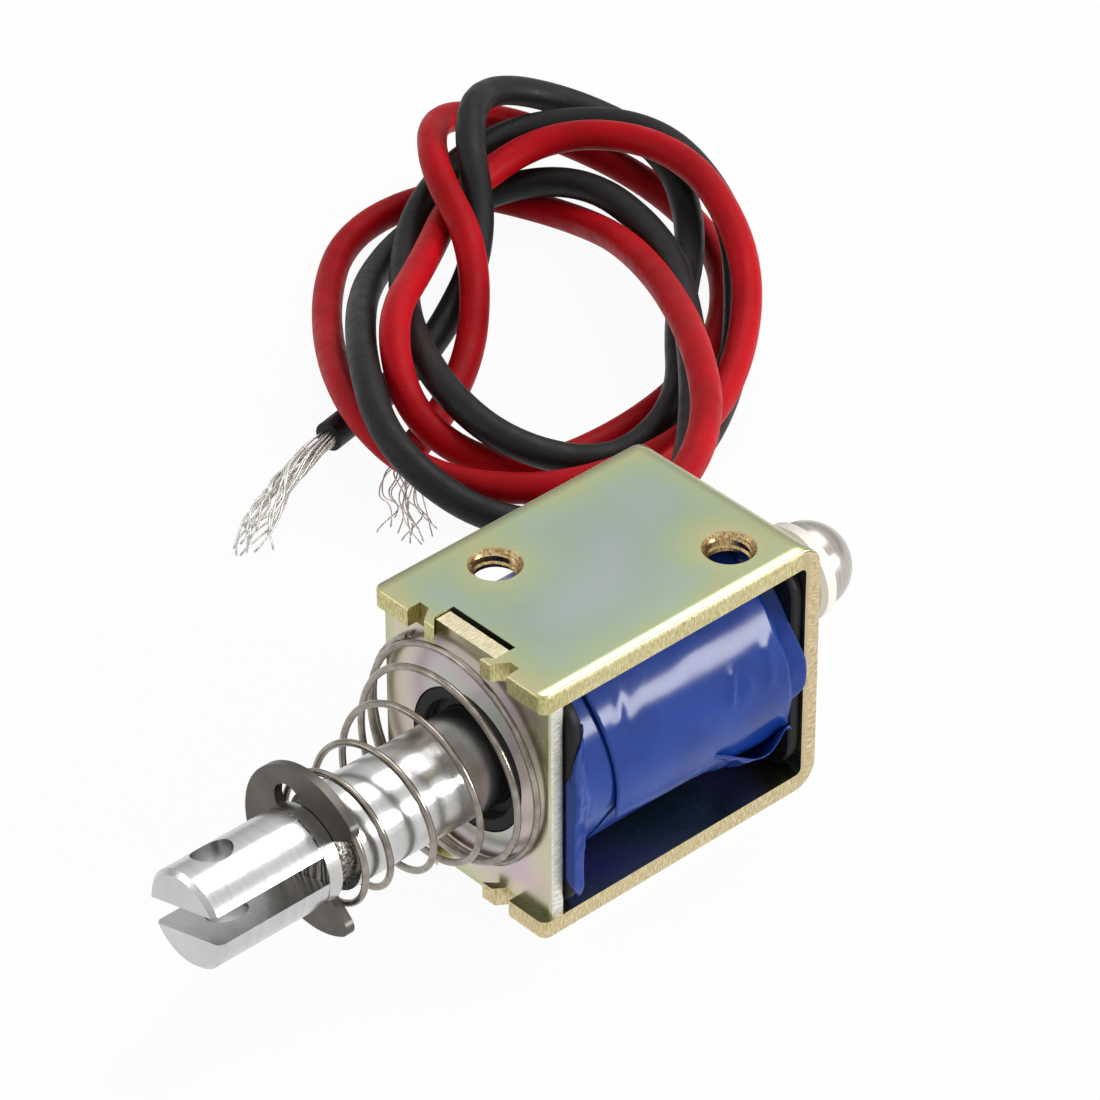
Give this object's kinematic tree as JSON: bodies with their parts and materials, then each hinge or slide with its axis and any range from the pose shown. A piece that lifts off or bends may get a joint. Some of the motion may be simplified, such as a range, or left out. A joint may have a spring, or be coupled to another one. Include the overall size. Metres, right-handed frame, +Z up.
{
  "type": "push pull solenoid",
  "caption": "Small open frame solenoid: a coil draws in a spring-returned plunger with a clevis, which pushes a domed rod out at the back.",
  "frame": {"origin": "middle of the yoke's underside", "axes": "+Y along the plunger's axis towards the push head, +Z up through the mounting threads, +X across the yoke"},
  "size_m": [0.0761, 0.0954, 0.021],
  "materials": {
    "zinc_plated_steel": "yellow iridescent zinc plating over rolled strip",
    "nickel_plated_steel": "bright nickel plating over a turned surface",
    "stainless_rod": "ground rod",
    "dark_spring_steel": "dark stamped spring steel",
    "spring_wire": "drawn wire",
    "bobbin_plastic": "black moulded plastic",
    "copper_winding": "enamelled copper wire",
    "coil_tape": "glossy blue polyester tape",
    "white_nylon": "white nylon",
    "satin_head": "satin plated dome",
    "red_insulation": "satin red PVC",
    "black_insulation": "satin black PVC",
    "tinned_copper": "tinned copper strands"
  },
  "bodies": {
    "solenoid_frame": {"yoke_frame": "zinc_plated_steel", "front_plate": "zinc_plated_steel", "bobbin": "bobbin_plastic", "coil_winding": "copper_winding", "tape_under_wrap": "coil_tape", "tape_outer_wrap": "coil_tape", "fixed_core": "zinc_plated_steel", "return_spring": "spring_wire", "red_lead": "red_insulation", "black_lead": "black_insulation", "red_lead_strands": "tinned_copper", "black_lead_strands": "tinned_copper", "red_lead_splice": "tinned_copper", "black_lead_splice": "tinned_copper"},
    "clip_carrier": {"e_clip": "dark_spring_steel"},
    "plunger_assembly": {"plunger": "nickel_plated_steel", "push_rod": "stainless_rod", "push_head": "satin_head", "nylon_washer": "white_nylon"}
  },
  "joints": [
    {"name": "plunger_stroke", "type": "slide", "parent": "solenoid_frame", "child": "clip_carrier", "axis": [0, 1, 0], "range_m": [-0.0054, 0.01], "stiffness_N_per_m": 60, "deforming": ["return_spring"]},
    {"name": "plunger_turn", "type": "hinge", "parent": "clip_carrier", "child": "plunger_assembly", "pos_m": [0, 0, 0.0105], "axis": [0, 1, 0], "continuous": true}
  ]
}
